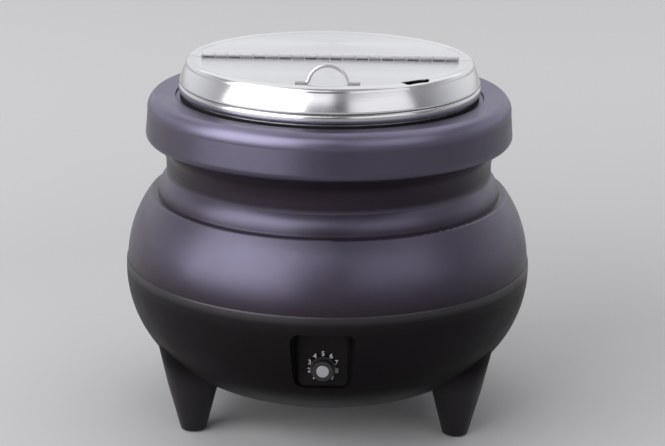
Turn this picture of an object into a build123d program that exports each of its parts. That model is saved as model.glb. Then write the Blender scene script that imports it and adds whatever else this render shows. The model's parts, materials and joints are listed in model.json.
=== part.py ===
from build123d import *
import os
from math import cos, radians, sin, sqrt

# Round soup warmer on three legs: a dark two-part body holds a heated water pan, a lift-out inset pot
# and a hinged stainless lid.
# Millimetres. The origin is on the floor under the middle, +Z is up and the dial faces -Y.

# Body wall and seam
WALL = 3.0
SEAM_Z = 160.0

# Lower bowl: one arc from the seam lip down to a flat underside
BOWL_MID_R = 84.5
BOWL_MID_Z = 150.0
BOWL_ARC = 112.3
LIP_R = 195.6
LIP_EDGE_Z = 158.6
TONGUE_IN_R = 188.2
TONGUE_OUT_R = 191.2
TONGUE_TOP_Z = 166.0
TONGUE_ROOT_Z = 152.0
TONGUE_HAUNCH_Z = 146.0
SERVICE_HOLE_R = 60.0
BOWL_FLOOR_Z = BOWL_MID_Z - BOWL_ARC

# Upper shell: belly arc with a rounded ledge, then a convex shoulder
BELLY_MID_R = 83.9
BELLY_MID_Z = 157.0
BELLY_ARC = 111.4
BELLY_TOP_Z = 224.5
BELLY_ROUND = 3.5
BELLY_TOP_INNER_Z = 221.0
SHOULDER_LOW_R = 165.5
SHOULDER_MID = (162.9, 234.3)
SHOULDER_INNER = (162.6, 221.6)
SHOULDER_INNER_MID = (160.1, 232.9)
SHOULDER_TOP_INNER_Z = 241.0

# Collar: neck with a spigot in the shell, hollow cheek, side, rounded top and a seat for the pan
NECK_R = 157.0
NECK_LOW_Z = 242.6
NECK_TOP_Z = 254.0
NECK_TOP_INNER_R = 154.3
SPIGOT_IN_R = 151.0
SPIGOT_OUT_R = 153.8
SPIGOT_LOW_Z = 236.0
SPIGOT_TOP_Z = 258.0
COLLAR_CHEEK = (161.5, 268.3)
COLLAR_JAW = (173.4, 277.4)
COLLAR_JAW_MID = (175.7, 280.3)
COLLAR_SIDE_LOW = (176.2, 284.0)
COLLAR_SIDE_TOP = (174.4, 305.0)
COLLAR_CHEEK_INNER = (159.0, 270.0)
COLLAR_JAW_INNER = (172.2, 280.2)
COLLAR_LOW_INNER = (173.2, 284.6)
COLLAR_ROUND_MID = (172.6, 314.4)
COLLAR_TOP_R = 167.5
COLLAR_TOP_Z = 320.0
COLLAR_INNER_Z = 319.0
COLLAR_INNER_ROUND = 0.8
SEAT_OUT_R = 147.4
SEAT_IN_R = 140.2
SEAT_Z = 317.0

# Legs
LEG_PCD_R = 146.5
LEG_ANGLES = (90, 210, 330)
LEG_BOTTOM_Z = 1.2
LEG_TOP_Z = 102.0
LEG_TIP_R = 11.2
LEG_TOE_MID = (12.2, 1.7)
LEG_TOE = (12.7, 2.8)
LEG_CALF = (24.4, 48.0)
LEG_TOP_R = 36.0
LEG_TRIM_GAP = 0.02
BOSS_R = 9.0
BOSS_TOP_Z = 76.0
LEG_SCREW_R = 3.0
LEG_SCREW_END_Z = 30.0
LEG_SCREW_HEAD_R = 5.5
LEG_SCREW_HEAD_T = 3.5
LEG_SCREW_HEAD_ROUND = 1.5
FOOT_R = 7.0
FOOT_DEPTH = 3.0
FOOT_ROUND = 0.8

# Control housing and dial
PANEL_Y = -172.0
DIAL_Z = 104.5
PANEL_SIZE = (48.0, 54.0)
PANEL_RISE = 8.5
MOUTH_SIZE = (62.0, 63.0)
MOUTH_RISE = 7.5
MOUTH_REACH = 28.0
PANEL_CORNER_R = 8.0
DIAL_PLATE_T = 0.8
DIAL_PLATE_SIZE = (44.0, 50.0)
DIAL_PLATE_RISE = 7.0
DIAL_PLATE_CORNER_R = 6.0
BUSH_R = 5.0
BUSH_REACH = 3.6
LOCK_NUT_T = 2.5
LOCK_NUT_FLATS = 14.0
SHAFT_R = 3.0
SHAFT_END = 10.5
SHAFT_DEPTH = 24.0
SHAFT_END_GAP = 1.0
KNOB_BASE = 4.0
KNOB_SKIRT_T = 1.6
KNOB_TOP = 12.0
KNOB_SKIRT_R = 11.5
KNOB_GRIP_R = 9.6
KNOB_FLUTES = 18
KNOB_FLUTE_R = 1.0
KNOB_FLUTE_OUT = 0.3
KNOB_ROUND = 0.8
KNOB_BORE_GAP = 0.01
KNOB_CAP_R = 5.6
KNOB_CAP_T = 0.9
KNOB_CAP_SINK = 0.5
KNOB_CAP_ROUND = 0.3
THERMOSTAT_SIZE = (42.0, 41.0, 30.0)
THERMOSTAT_ROUND = 3.0
TAB_X = 10.0
TAB_DROP = 14.5
TAB_SIZE = (6.4, 1.0, 6.0)
RUNNING_GAP = 0.04
HOLE_GAP = 0.1

# Water pan, inset pot and seal
SHEET = 1.0
PAN_R = 138.0
PAN_FLOOR_Z = 106.0
PAN_CORNER_R = 30.0
PAN_FLANGE_R = 141.8
PAN_FLANGE_Z = 321.1
SEAL_IN_R = 139.6
SEAL_OUT_R = 143.2
INSET_MOUTH_R = 133.5
INSET_FOOT_R = 132.0
INSET_RIM_R = 144.5
INSET_RIM_Z = 331.5
INSET_RIM_ROUND = 4.5
INSET_RIM_T = 1.5
INSET_CURL_ROUND = 4.0
INSET_CURL_IN_R = 139.8
INSET_FLOOR_Z = 129.0
INSET_CORNER_R = 17.0
SLEEVE_T = 10.0
SLEEVE_Z = (150.0, 305.0)

# Lid, hinge, handle and ladle slot
LID_EDGE_R = 143.8
LID_WALL_LOW_Z = 333.0
LID_WALL_MID = (141.0, 340.9)
LID_WALL_TOP = (137.5, 348.5)
LID_CORNER_MID = (135.7, 352.4)
LID_CREST_R = 131.8
LID_CREST_Z = 354.2
LID_INNER_MID = (140.0, 340.6)
LID_INNER_TOP = (136.5, 348.2)
LID_INNER_CORNER = (134.9, 351.6)
LID_INNER_CREST_R = 131.6
LID_STEP_R = 128.6
LID_STEP = 0.8
LID_LIP_R = 130.0
LID_LIP_Z = 327.0
LID_CUT = 1.0
HINGE_Y = -6.0
HINGE_LENGTH = 243.0
KNUCKLES = 20
KNUCKLE_R = 2.5
KNUCKLE_GAP = 0.9
HINGE_PIN_R = 1.2
HINGE_PIN_HEAD_R = 1.8
HINGE_PIN_HEAD = (0.1, 0.8)
LEAF_T = 0.8
LEAF_WIDTH = 13.0
LEAF_EDGE = 0.3
HINGE_SLOT = 3.6
HANDLE_Y = -122.0
HANDLE_ROD_R = 1.9
HANDLE_ARCH_R = 17.6
HANDLE_ARCH_LIFT = -1.8
HANDLE_BEND_R = 3.0
HANDLE_FOOT_X = 29.0
HANDLE_FLAT = 0.3
LADLE_ANGLE = -53.0
LADLE_R = 130.0
LADLE_SLOT = (30.0, 10.0)
LADLE_CUT_DEPTH = 10.0

# Heater and fixings under the pan
HEATER_R = 70.0
HEATER_T = 7.0
HEATER_RIB_R = 48.0
HEATER_RIB_TUBE = 5.0
HEATER_PIN_ANGLES = (130, 155)
HEATER_PIN_R = 2.0
HEATER_PIN_END_Z = 80.0
BEAD_R = 4.0
BEAD_LENGTH = 5.0
STUD_R = 3.0
STUD_END_Z = 80.0
CLAMP_SIZE = (16.0, 60.0, 4.0)
CLAMP_ROUND = 5.0
LUG_R = 6.5
LUG_TAIL = 14.0
LUG_TAIL_HALF = 2.5
LUG_WIRE = 11.0
CLAMP_NUT_T = 5.0
CLAMP_NUT_FLATS = 10.0
CUTOUT_PLACE = (26.0, 0.0)
CUTOUT_R = 8.0
CUTOUT_T = 8.0
CUTOUT_TAB_Y = 4.0
CUTOUT_TAB_HALF = (2.5, 0.4)
CUTOUT_TAB_LENGTH = 5.0
BULB_Y = -92.0
BULB_R = 3.0
BULB_HALF = 35.0
CAPILLARY_R = 1.0
CAPILLARY_BEND_R = 5.0
CAPILLARY_X = 14.0
CAPILLARY_Z = 97.0
CAPILLARY_SIDE = (50.0, BULB_Y)
CAPILLARY_TURN = (52.0, -112.0)
CAPILLARY_RUN_Y = -120.0
CLIP_WIDTH = 10.0
CLIP_FOOT = (0.2, 7.0)
TIE_PCD_R = 78.0
TIE_R = 3.0
TIE_END_Z = 32.0
TIE_NUT_FLATS = 10.0

# Underside, gland and wiring
COVER_R = 68.0
COVER_T = 1.5
COVER_SCREW_PCD_R = 64.0
COVER_SCREW_ANGLES = (0, 90, 180, 270)
COVER_SCREW_R = 1.5
COVER_SCREW_END_Z = 44.0
COVER_SCREW_HEAD_R = 2.9
COVER_SCREW_HEAD_T = 2.0
COVER_SCREW_HEAD_ROUND = 0.8
GLAND_ANGLE = 50.0
GLAND_FACE_R = 172.0
GLAND_Z = 88.0
GLAND_SEAT_R = 17.0
GLAND_RECESS_R = 14.0
GLAND_WALL = 8.0
GLAND_THREAD_R = 7.9
GLAND_BORE_R = 4.0
GLAND_HEX = 20.0
GLAND_FLANGE_T = 5.0
GLAND_DOME_R = (9.0, 7.0)
GLAND_DOME_LENGTH = 6.0
GLAND_TAIL = 6.0
GLAND_NUT_T = 5.0
BLOCK_SIZE = (18.0, 40.0, 16.0)
BLOCK_R = 71.0
BLOCK_TERMINALS = (-12.0, 0.0, 12.0)
BLOCK_HOLE_R = 2.5
BLOCK_HOLE_DEPTH = 4.0
BLOCK_WIRE_RISE = 8.0
BLOCK_LEAD = 18.0
WIRE_R = 1.2
WIRE_BEND_R = 6.0
LIVE_BEND = (30.0, -40.0, 62.0)
LIVE_RUN_Y = -111.0
SWITCHED_RUN_Y = -109.0
SWITCHED_BEND = (0.0, -50.0, 72.0)
CUTOUT_WIRE_Z = 68.0
HEATER_WIRE_Z = 64.0
NEUTRAL_DROP_Z = 54.0
NEUTRAL_BEND = (-4.0, 24.0, 50.0)
EARTH_DROP_Z = 60.0
BIG = 500.0

LID_TOP_Z = LID_CREST_Z - LID_STEP
HINGE_Z = LID_TOP_Z + KNUCKLE_R
PAN_UNDER_Z = PAN_FLOOR_Z - SHEET
HEATER_UNDER_Z = PAN_UNDER_Z - HEATER_T
CUTOUT_TAB_Z = HEATER_UNDER_Z - CUTOUT_T - CUTOUT_TAB_LENGTH
THERMOSTAT_BACK_Y = PANEL_Y + WALL + THERMOSTAT_SIZE[2]
TAB_END_Y = THERMOSTAT_BACK_Y + TAB_SIZE[2]
TAB_Z = DIAL_Z - TAB_DROP
BOWL_INNER_FLOOR_Z = BOWL_FLOOR_Z + WALL

dial_frame = Plane(origin=(0, PANEL_Y, DIAL_Z), x_dir=(1, 0, 0), z_dir=(0, -1, 0))
gland_out = Vector(cos(radians(GLAND_ANGLE)), sin(radians(GLAND_ANGLE)), 0)
gland_side = Vector(-gland_out.Y, gland_out.X, 0)
gland_frame = Plane(
    origin=gland_out * GLAND_FACE_R + Vector(0, 0, GLAND_Z), x_dir=gland_side, z_dir=gland_out
)


# Shared shapes


def at(radius, height):
    """Point of a turned outline."""
    return (radius, 0, height)


def turned(*edges):
    """Solid of revolution about the upright axis from a closed outline."""
    return revolve(make_face(edges), axis=Axis.Z)


def path_of(*points):
    """Straight edges through the points of a turned outline."""
    return [Line(at(*start), at(*end)) for start, end in zip(points, points[1:])]


def curve(start, middle, end):
    """Arc of a turned outline through three points."""
    return ThreePointArc(at(*start), at(*middle), at(*end))


def on_arc(height, mid_r, mid_z, arc):
    """Point at a height on the outer side of an arc."""
    return (mid_r + sqrt(arc**2 - (height - mid_z) ** 2), height)


def rod(radius, low, high, x=0.0, y=0.0):
    """Upright cylinder between two heights."""
    return Pos(x, y, (low + high) / 2) * Cylinder(radius, high - low)


def block(x_span, y_span, z_span):
    """Box between limits on each axis."""
    spans = (x_span, y_span, z_span)
    middle = [sum(span) / 2 for span in spans]
    size = [span[1] - span[0] for span in spans]
    return Pos(*middle) * Box(*size)


def ring(inner, outer, low, high):
    """Flat ring about the upright axis."""
    return rod(outer, low, high) - rod(inner, low, high)


def prism(flats, low, high):
    """Upright hexagon with a given width across its flats."""
    return extrude(Pos(0, 0, low) * RegularPolygon(flats / 2, 6, major_radius=False), high - low)


def around(radius, angle):
    """Point on a circle about the upright axis."""
    return (radius * cos(radians(angle)), radius * sin(radians(angle)))


def tube(radius, bend, *points):
    """Round rod or wire along straight runs joined by tangent arcs."""
    path = FilletPolyline(*points, radius=bend)
    start = Plane(origin=path @ 0, z_dir=path % 0)
    return sweep(start * Circle(radius), path=path)


# Body shells


def bowl_solid(extra=0.0):
    """Filled lower bowl, grown by extra, that trims what stands on it or in it."""
    arc = BOWL_ARC + extra
    top = on_arc(LIP_EDGE_Z, BOWL_MID_R, BOWL_MID_Z, arc)
    side = on_arc(BOWL_MID_Z - arc / 2, BOWL_MID_R, BOWL_MID_Z, arc)
    low = (BOWL_MID_R, BOWL_MID_Z - arc)
    sides = path_of(low, (0, low[1]), (0, top[1]), top)
    return turned(curve(top, side, low), *sides)


def panel_loft(grow, depth):
    """Flared block of the control recess, grown outwards, from a depth behind the panel face."""
    corner = PANEL_CORNER_R + grow
    back = Pos(0, PANEL_RISE, -depth) * RectangleRounded(
        PANEL_SIZE[0] + 2 * grow, PANEL_SIZE[1] + 2 * grow, corner
    )
    mouth = Pos(0, MOUTH_RISE, MOUTH_REACH) * RectangleRounded(
        MOUTH_SIZE[0] + 2 * grow, MOUTH_SIZE[1] + 2 * grow, corner
    )
    return dial_frame.location * loft([back, mouth])


def lower_shell():
    inner_arc = BOWL_ARC - WALL
    lip_edge = on_arc(LIP_EDGE_Z, BOWL_MID_R, BOWL_MID_Z, BOWL_ARC)
    outer_side = on_arc(BOWL_MID_Z - BOWL_ARC / 2, BOWL_MID_R, BOWL_MID_Z, BOWL_ARC)
    haunch = on_arc(TONGUE_HAUNCH_Z, BOWL_MID_R, BOWL_MID_Z, inner_arc)
    inner_side = on_arc(BOWL_MID_Z - inner_arc / 2, BOWL_MID_R, BOWL_MID_Z, inner_arc)
    outer_low = (BOWL_MID_R, BOWL_FLOOR_Z)
    inner_low = (BOWL_MID_R, BOWL_INNER_FLOOR_Z)
    floor = path_of(
        outer_low, (SERVICE_HOLE_R, BOWL_FLOOR_Z), (SERVICE_HOLE_R, BOWL_INNER_FLOOR_Z), inner_low
    )
    tongue = path_of(
        haunch,
        (TONGUE_IN_R, TONGUE_ROOT_Z),
        (TONGUE_IN_R, TONGUE_TOP_Z),
        (TONGUE_OUT_R, TONGUE_TOP_Z),
        (TONGUE_OUT_R, SEAM_Z),
        (LIP_R, SEAM_Z),
        lip_edge,
    )
    shell = turned(
        curve(lip_edge, outer_side, outer_low), *floor, curve(inner_low, inner_side, haunch), *tongue
    )
    filled = bowl_solid()
    for angle in LEG_ANGLES:
        spot = around(LEG_PCD_R, angle)
        shell += rod(BOSS_R, BOWL_FLOOR_Z, BOSS_TOP_Z, *spot) & filled
        shell -= rod(LEG_SCREW_R + HOLE_GAP, 0, BOSS_TOP_Z, *spot)
        shell -= rod(TIE_R + HOLE_GAP, 0, BOSS_TOP_Z, *around(TIE_PCD_R, angle))
    for angle in COVER_SCREW_ANGLES:
        shell -= rod(COVER_SCREW_R, 0, BOSS_TOP_Z, *around(COVER_SCREW_PCD_R, angle))
    seat = gland_frame.location * rod(GLAND_SEAT_R, -GLAND_WALL, 0)
    cheek = gland_frame.location * rod(GLAND_SEAT_R, 0, BIG) & filled
    recess = gland_frame.location * rod(GLAND_RECESS_R, 0, BIG)
    hole = gland_frame.location * rod(GLAND_THREAD_R + HOLE_GAP, -GLAND_WALL, 0)
    shell = shell + seat + cheek - recess - hole
    return shell - panel_loft(WALL, WALL)


def control_housing():
    housing = panel_loft(WALL, WALL) & bowl_solid()
    housing -= panel_loft(0, 0)
    return housing - dial_frame.location * rod(BUSH_R + HOLE_GAP, -WALL, 0)


def upper_shell():
    inner_arc = BELLY_ARC - WALL
    seam_out = on_arc(SEAM_Z, BELLY_MID_R, BELLY_MID_Z, BELLY_ARC)
    belly_side = on_arc((SEAM_Z + BELLY_TOP_Z) / 2, BELLY_MID_R, BELLY_MID_Z, BELLY_ARC)
    seam_in = on_arc(SEAM_Z, BELLY_MID_R, BELLY_MID_Z, inner_arc)
    inner_top = on_arc(BELLY_TOP_INNER_Z, BELLY_MID_R, BELLY_MID_Z, inner_arc)
    inner_side = on_arc((SEAM_Z + BELLY_TOP_INNER_Z) / 2, BELLY_MID_R, BELLY_MID_Z, inner_arc)
    neck_in = NECK_R - WALL
    # The ledge is rounded into the belly about a point that lies inside both
    round_arc = BELLY_ARC - BELLY_ROUND
    round_r, round_z = on_arc(BELLY_TOP_Z - BELLY_ROUND, BELLY_MID_R, BELLY_MID_Z, round_arc)
    out_r = (round_r - BELLY_MID_R) / round_arc
    out_z = (round_z - BELLY_MID_Z) / round_arc
    belly_top = (round_r + BELLY_ROUND * out_r, round_z + BELLY_ROUND * out_z)
    ledge = (round_r, BELLY_TOP_Z)
    shoulder_low = (SHOULDER_LOW_R, BELLY_TOP_Z)
    shoulder_top = (NECK_R, NECK_LOW_Z)
    outside = [
        curve(seam_out, belly_side, belly_top),
        TangentArc(at(*belly_top), at(*ledge), tangent=(-out_z, 0, out_r)),
        *path_of(ledge, shoulder_low),
        curve(shoulder_low, SHOULDER_MID, shoulder_top),
        *path_of(shoulder_top, (neck_in, NECK_LOW_Z), (neck_in, SHOULDER_TOP_INNER_Z)),
    ]
    inside = [
        curve((neck_in, SHOULDER_TOP_INNER_Z), SHOULDER_INNER_MID, SHOULDER_INNER),
        *path_of(SHOULDER_INNER, inner_top),
        curve(inner_top, inner_side, seam_in),
        *path_of(seam_in, seam_out),
    ]
    return turned(*outside, *inside)


def collar():
    edge_r = SEAT_OUT_R + COLLAR_INNER_ROUND
    edge_z = COLLAR_INNER_Z - COLLAR_INNER_ROUND
    diagonal = COLLAR_INNER_ROUND * sqrt(0.5)
    outside = [
        *path_of((NECK_R, NECK_LOW_Z), (NECK_R, NECK_TOP_Z)),
        curve((NECK_R, NECK_TOP_Z), COLLAR_CHEEK, COLLAR_JAW),
        curve(COLLAR_JAW, COLLAR_JAW_MID, COLLAR_SIDE_LOW),
        *path_of(COLLAR_SIDE_LOW, COLLAR_SIDE_TOP),
        curve(COLLAR_SIDE_TOP, COLLAR_ROUND_MID, (COLLAR_TOP_R, COLLAR_TOP_Z)),
        *path_of((COLLAR_TOP_R, COLLAR_TOP_Z), (edge_r, COLLAR_INNER_Z)),
        curve((edge_r, COLLAR_INNER_Z), (edge_r - diagonal, edge_z + diagonal), (SEAT_OUT_R, edge_z)),
    ]
    inside = path_of(
        (SEAT_OUT_R, edge_z),
        (SEAT_OUT_R, SEAT_Z),
        (SEAT_IN_R, SEAT_Z),
        (SEAT_IN_R, SEAT_Z - WALL),
        (COLLAR_TOP_R - WALL, SEAT_Z - WALL),
        (COLLAR_SIDE_TOP[0] - WALL, COLLAR_SIDE_TOP[1]),
        COLLAR_LOW_INNER,
        COLLAR_JAW_INNER,
    )
    neck_inner = (NECK_TOP_INNER_R, SPIGOT_TOP_Z)
    spigot = path_of(
        neck_inner,
        (SPIGOT_IN_R, SPIGOT_TOP_Z),
        (SPIGOT_IN_R, SPIGOT_LOW_Z),
        (SPIGOT_OUT_R, SPIGOT_LOW_Z),
        (SPIGOT_OUT_R, NECK_LOW_Z),
        (NECK_R, NECK_LOW_Z),
    )
    return turned(*outside, *inside, curve(COLLAR_JAW_INNER, COLLAR_CHEEK_INNER, neck_inner), *spigot)


# Legs, feet and their screws


def leg(angle):
    outline = [
        curve((LEG_TIP_R, LEG_BOTTOM_Z), LEG_TOE_MID, LEG_TOE),
        *path_of(LEG_TOE, LEG_CALF, (LEG_TOP_R, LEG_TOP_Z), (0, LEG_TOP_Z)),
        *path_of((0, LEG_TOP_Z), (0, LEG_BOTTOM_Z), (LEG_TIP_R, LEG_BOTTOM_Z)),
    ]
    cone = turned(*outline)
    cone -= rod(FOOT_R, LEG_BOTTOM_Z, LEG_BOTTOM_Z + FOOT_DEPTH)
    cone -= rod(LEG_SCREW_R, LEG_SCREW_END_Z, LEG_TOP_Z)
    trimmed = Pos(*around(LEG_PCD_R, angle), 0) * cone - bowl_solid(extra=LEG_TRIM_GAP)
    return trimmed.solids().sort_by(Axis.Z)[0]


def foot_pad(angle):
    pad = rod(FOOT_R - HOLE_GAP, 0, LEG_BOTTOM_Z + FOOT_DEPTH)
    pad = fillet(pad.edges().group_by(Axis.Z)[0], FOOT_ROUND)
    return Pos(*around(LEG_PCD_R, angle), 0) * pad


def leg_screws():
    head = rod(LEG_SCREW_HEAD_R, BOSS_TOP_Z, BOSS_TOP_Z + LEG_SCREW_HEAD_T)
    head = fillet(head.edges().group_by(Axis.Z)[-1], LEG_SCREW_HEAD_ROUND)
    screw = head + rod(LEG_SCREW_R, LEG_SCREW_END_Z, BOSS_TOP_Z)
    return Compound([Pos(*around(LEG_PCD_R, angle), 0) * screw for angle in LEG_ANGLES])


# Dial, knob and thermostat, drawn outwards from the panel face


def dial_plate():
    outline = Pos(0, DIAL_PLATE_RISE, 0) * RectangleRounded(*DIAL_PLATE_SIZE, DIAL_PLATE_CORNER_R)
    plate = extrude(outline, DIAL_PLATE_T)
    return dial_frame.location * (plate - rod(BUSH_R + HOLE_GAP, 0, DIAL_PLATE_T))


def thermostat_lock_nut():
    nut = prism(LOCK_NUT_FLATS, DIAL_PLATE_T, DIAL_PLATE_T + LOCK_NUT_T)
    return dial_frame.location * (nut - rod(BUSH_R, 0, DIAL_PLATE_T + LOCK_NUT_T))


def thermostat_body():
    width, height, depth = THERMOSTAT_SIZE
    back = -WALL - depth
    case = block((-width / 2, width / 2), (-height / 2, height / 2), (back, -WALL))
    case = fillet(case.edges().filter_by(Axis.Z), THERMOSTAT_ROUND)
    tab_width, tab_thick, tab_length = TAB_SIZE
    for x in (-TAB_X, TAB_X):
        x_span = (x - tab_width / 2, x + tab_width / 2)
        y_span = (-TAB_DROP - tab_thick / 2, -TAB_DROP + tab_thick / 2)
        case += block(x_span, y_span, (back - tab_length, back))
    case += rod(BUSH_R, -WALL, BUSH_REACH)
    bore = rod(SHAFT_R + RUNNING_GAP, -SHAFT_DEPTH - SHAFT_END_GAP, BUSH_REACH)
    return dial_frame.location * (case - bore)


def thermostat_shaft():
    return dial_frame.location * rod(SHAFT_R, -SHAFT_DEPTH, SHAFT_END)


def control_knob():
    skirt_top = KNOB_BASE + KNOB_SKIRT_T
    knob = rod(KNOB_SKIRT_R, KNOB_BASE, skirt_top) + rod(KNOB_GRIP_R, skirt_top, KNOB_TOP)
    knob = fillet(knob.edges().group_by(Axis.Z)[-1], KNOB_ROUND)
    for index in range(KNOB_FLUTES):
        spot = around(KNOB_GRIP_R + KNOB_FLUTE_OUT, index * 360 / KNOB_FLUTES)
        knob -= rod(KNOB_FLUTE_R, skirt_top, KNOB_TOP, *spot)
    knob -= rod(SHAFT_R + KNOB_BORE_GAP, KNOB_BASE, SHAFT_END)
    return dial_frame.location * (knob - rod(KNOB_CAP_R, KNOB_TOP - KNOB_CAP_SINK, KNOB_TOP))


def knob_cap():
    low = KNOB_TOP - KNOB_CAP_SINK
    cap = rod(KNOB_CAP_R, low, low + KNOB_CAP_T)
    return dial_frame.location * fillet(cap.edges().group_by(Axis.Z)[-1], KNOB_CAP_ROUND)


def sensor_bulb():
    """Bulb under the pan floor and its fine capillary to the thermostat."""
    height = PAN_UNDER_Z - BULB_R - HOLE_GAP
    bulb = Pos(0, BULB_Y, height) * (Rot(0, 90, 0) * Cylinder(BULB_R, 2 * BULB_HALF))
    capillary = tube(
        CAPILLARY_R,
        CAPILLARY_BEND_R,
        (BULB_HALF, BULB_Y, height),
        (*CAPILLARY_SIDE, height),
        (*CAPILLARY_TURN, CAPILLARY_Z),
        (CAPILLARY_X, CAPILLARY_RUN_Y, CAPILLARY_Z),
        (CAPILLARY_X, THERMOSTAT_BACK_Y, CAPILLARY_Z),
    )
    return bulb + capillary


def bulb_clip():
    height = PAN_UNDER_Z - BULB_R - HOLE_GAP
    inner = BULB_R + HOLE_GAP
    strap = rod(inner + SHEET, -CLIP_WIDTH / 2, CLIP_WIDTH / 2) - rod(inner, -CLIP_WIDTH, CLIP_WIDTH)
    strap = Pos(0, BULB_Y, height) * (Rot(0, 90, 0) * strap)
    strap &= block((-BIG, BIG), (-BIG, BIG), (0, PAN_UNDER_Z - SHEET / 2))
    for side in (-1, 1):
        near = BULB_Y + side * (inner + CLIP_FOOT[0])
        far = BULB_Y + side * (inner + CLIP_FOOT[1])
        span = (min(near, far), max(near, far))
        strap += block((-CLIP_WIDTH / 2, CLIP_WIDTH / 2), span, (PAN_UNDER_Z - SHEET, PAN_UNDER_Z))
    return strap


# Pan, inset and seal


def water_pan():
    outer_r = PAN_R + SHEET
    mid_r = PAN_R - PAN_CORNER_R
    mid_z = PAN_FLOOR_Z + PAN_CORNER_R
    diagonal = sqrt(0.5)
    outer_corner = PAN_CORNER_R + SHEET
    return turned(
        *path_of(
            (PAN_R, mid_z),
            (PAN_R, PAN_FLANGE_Z),
            (PAN_FLANGE_R, PAN_FLANGE_Z),
            (PAN_FLANGE_R, PAN_FLANGE_Z - SHEET),
            (outer_r, PAN_FLANGE_Z - SHEET),
            (outer_r, mid_z),
        ),
        curve(
            (outer_r, mid_z),
            (mid_r + outer_corner * diagonal, mid_z - outer_corner * diagonal),
            (mid_r, PAN_UNDER_Z),
        ),
        *path_of((mid_r, PAN_UNDER_Z), (0, PAN_UNDER_Z), (0, PAN_FLOOR_Z), (mid_r, PAN_FLOOR_Z)),
        curve(
            (mid_r, PAN_FLOOR_Z),
            (mid_r + PAN_CORNER_R * diagonal, mid_z - PAN_CORNER_R * diagonal),
            (PAN_R, mid_z),
        ),
    )


def pan_seal():
    return ring(SEAL_IN_R, SEAL_OUT_R, SEAT_Z, PAN_FLANGE_Z - SHEET)


def insulation_sleeve():
    return ring(PAN_R + SHEET + HOLE_GAP, PAN_R + SHEET + SLEEVE_T, *SLEEVE_Z)


def inset_pot():
    mid_r = INSET_FOOT_R - INSET_CORNER_R
    mid_z = INSET_FLOOR_Z + INSET_CORNER_R
    diagonal = sqrt(0.5)
    outer_corner = INSET_CORNER_R + SHEET
    round_r = INSET_RIM_R - INSET_RIM_ROUND
    round_z = INSET_RIM_Z - INSET_RIM_ROUND
    curl_r = INSET_RIM_R - INSET_CURL_ROUND
    return turned(
        *path_of((INSET_FOOT_R, mid_z), (INSET_MOUTH_R, INSET_RIM_Z), (round_r, INSET_RIM_Z)),
        curve(
            (round_r, INSET_RIM_Z),
            (round_r + INSET_RIM_ROUND * diagonal, round_z + INSET_RIM_ROUND * diagonal),
            (INSET_RIM_R, round_z),
        ),
        *path_of(
            (INSET_RIM_R, round_z),
            (INSET_RIM_R, PAN_FLANGE_Z + INSET_CURL_ROUND),
        ),
        curve(
            (INSET_RIM_R, PAN_FLANGE_Z + INSET_CURL_ROUND),
            (curl_r + INSET_CURL_ROUND * diagonal, PAN_FLANGE_Z + INSET_CURL_ROUND * (1 - diagonal)),
            (curl_r, PAN_FLANGE_Z),
        ),
        *path_of(
            (curl_r, PAN_FLANGE_Z),
            (INSET_CURL_IN_R, PAN_FLANGE_Z),
            (INSET_CURL_IN_R, PAN_FLANGE_Z + SHEET),
            (curl_r, PAN_FLANGE_Z + SHEET),
            (INSET_RIM_R - SHEET, PAN_FLANGE_Z + INSET_CURL_ROUND),
            (INSET_RIM_R - SHEET, round_z),
            (round_r, INSET_RIM_Z - INSET_RIM_T),
            (INSET_MOUTH_R + SHEET, INSET_RIM_Z - INSET_RIM_T),
            (INSET_FOOT_R + SHEET, mid_z),
        ),
        curve(
            (INSET_FOOT_R + SHEET, mid_z),
            (mid_r + outer_corner * diagonal, mid_z - outer_corner * diagonal),
            (mid_r, INSET_FLOOR_Z - SHEET),
        ),
        *path_of(
            (mid_r, INSET_FLOOR_Z - SHEET),
            (0, INSET_FLOOR_Z - SHEET),
            (0, INSET_FLOOR_Z),
            (mid_r, INSET_FLOOR_Z),
        ),
        curve(
            (mid_r, INSET_FLOOR_Z),
            (mid_r + INSET_CORNER_R * diagonal, mid_z - INSET_CORNER_R * diagonal),
            (INSET_FOOT_R, mid_z),
        ),
    )


# Lid


def lid_whole():
    """Turned lid before it is cut into its two halves."""
    lip_out = LID_LIP_R + SHEET
    wall_low = (LID_EDGE_R, LID_WALL_LOW_Z)
    crest = (LID_CREST_R, LID_CREST_Z)
    shelf_z = INSET_RIM_Z + SHEET
    inner_low = (LID_EDGE_R - SHEET, shelf_z)
    inner_crest = (LID_INNER_CREST_R, LID_CREST_Z - SHEET)
    outside = [
        *path_of((lip_out, INSET_RIM_Z), (LID_EDGE_R, INSET_RIM_Z), wall_low),
        curve(wall_low, LID_WALL_MID, LID_WALL_TOP),
        curve(LID_WALL_TOP, LID_CORNER_MID, crest),
        *path_of(crest, (LID_STEP_R, LID_CREST_Z), (LID_STEP_R - LID_STEP, LID_TOP_Z), (0, LID_TOP_Z)),
    ]
    underside = path_of(
        (0, LID_TOP_Z),
        (0, LID_TOP_Z - SHEET),
        (LID_STEP_R - LID_STEP, LID_TOP_Z - SHEET),
        (LID_STEP_R, LID_CREST_Z - SHEET),
        inner_crest,
    )
    inside = [
        curve(inner_crest, LID_INNER_CORNER, LID_INNER_TOP),
        curve(LID_INNER_TOP, LID_INNER_MID, inner_low),
        *path_of(inner_low, (LID_LIP_R, shelf_z), (LID_LIP_R, LID_LIP_Z)),
        *path_of((LID_LIP_R, LID_LIP_Z), (lip_out, LID_LIP_Z), (lip_out, INSET_RIM_Z)),
    ]
    return turned(*outside, *underside, *inside)


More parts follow.
